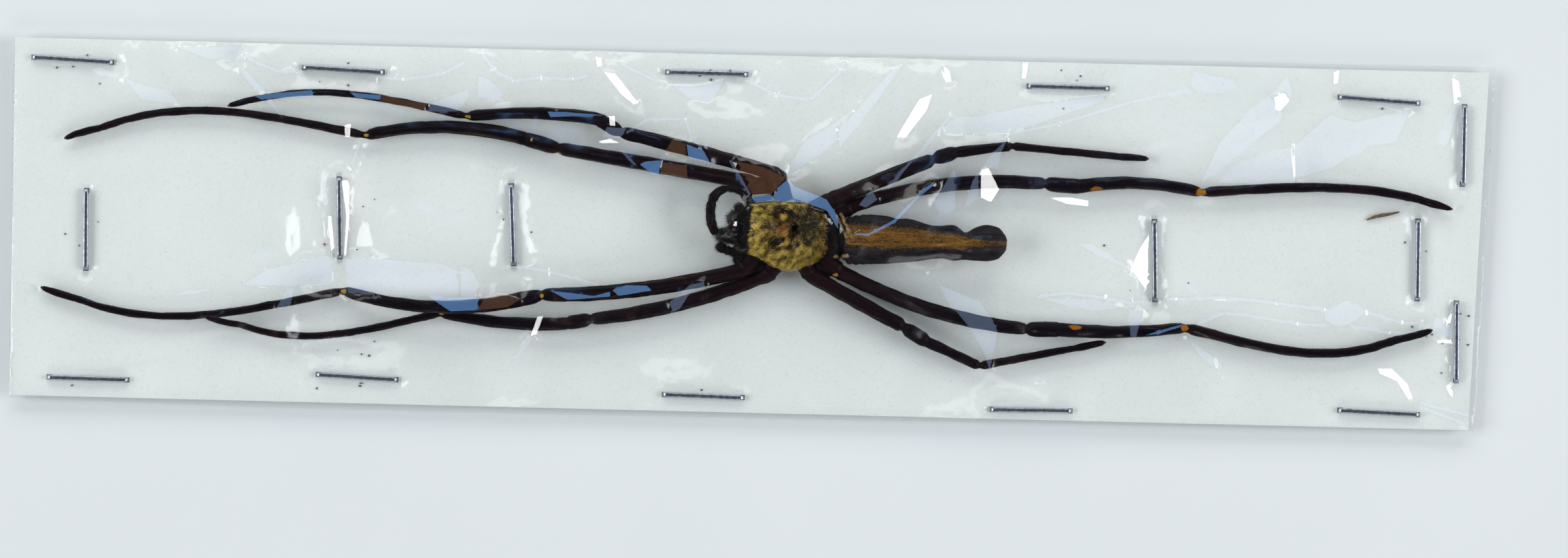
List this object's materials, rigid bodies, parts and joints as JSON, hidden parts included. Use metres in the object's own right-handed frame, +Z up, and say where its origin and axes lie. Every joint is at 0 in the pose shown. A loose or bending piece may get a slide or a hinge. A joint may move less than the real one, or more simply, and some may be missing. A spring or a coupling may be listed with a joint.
{
  "type": "mounted golden silk orb weaver",
  "caption": "Dried golden silk orb weaver laid out flat on a white card under clear film held down with wire staples, as a life-size specimen.",
  "frame": {"origin": "centre of the card seen from above, at the level on which the staples' bent ends stand", "axes": "+X runs along the card from the spider's head towards its abdomen, +Y across the card to the spider's right side, +Z up out of the card"},
  "size_m": [0.1672, 0.0406, 0.0081],
  "materials": {
    "card": "matte white board with a faint cool tint",
    "film": "clear glossy wrinkled film",
    "staple_wire": "bright drawn steel wire",
    "carapace": "dark shell under short golden hair",
    "abdomen": "dried, wrinkled skin, orange brown along the back",
    "legs": "near-black grooved shell with short hairs and yellow spots at the joints",
    "jaws": "glossy black shell",
    "eyes": "glossy dark eyes on a low black mound"
  },
  "bodies": {
    "root": {"card": "card", "film_cover": "film", "staple_01": "staple_wire", "staple_02": "staple_wire", "staple_03": "staple_wire", "staple_04": "staple_wire", "staple_05": "staple_wire", "staple_06": "staple_wire", "staple_07": "staple_wire", "staple_08": "staple_wire", "staple_09": "staple_wire", "staple_10": "staple_wire", "staple_11": "staple_wire", "staple_12": "staple_wire", "staple_13": "staple_wire", "staple_14": "staple_wire", "staple_15": "staple_wire", "staple_16": "staple_wire", "staple_17": "staple_wire", "cephalothorax": "carapace", "eyes_median": "eyes", "eyes_lateral_r": "eyes", "eyes_lateral_l": "eyes", "chelicera_r": "jaws", "chelicera_l": "jaws", "fang_r": "jaws", "fang_l": "jaws", "palp_r": "legs", "palp_l": "legs", "pedicel": "jaws", "abdomen": "abdomen", "spinnerets": "abdomen", "leg_r1_coxa_femur": "legs", "leg_r1_patella_tibia": "legs", "leg_r1_metatarsus_tarsus": "legs", "leg_r2_coxa_femur": "legs", "leg_r2_patella_tibia": "legs", "leg_r2_metatarsus_tarsus": "legs", "leg_r3_coxa_femur": "legs", "leg_r3_patella_tibia": "legs", "leg_r3_metatarsus_tarsus": "legs", "leg_r4_coxa_femur": "legs", "leg_r4_patella_tibia": "legs", "leg_r4_metatarsus_tarsus": "legs", "leg_l1_coxa_femur": "legs", "leg_l1_patella_tibia": "legs", "leg_l1_metatarsus_tarsus": "legs", "leg_l2_coxa_femur": "legs", "leg_l2_patella_tibia": "legs", "leg_l2_metatarsus_tarsus": "legs", "leg_l3_coxa_femur": "legs", "leg_l3_patella_tibia": "legs", "leg_l3_metatarsus_tarsus": "legs", "leg_l4_coxa_femur": "legs", "leg_l4_patella_tibia": "legs", "leg_l4_metatarsus_tarsus": "legs"}
  },
  "joints": []
}
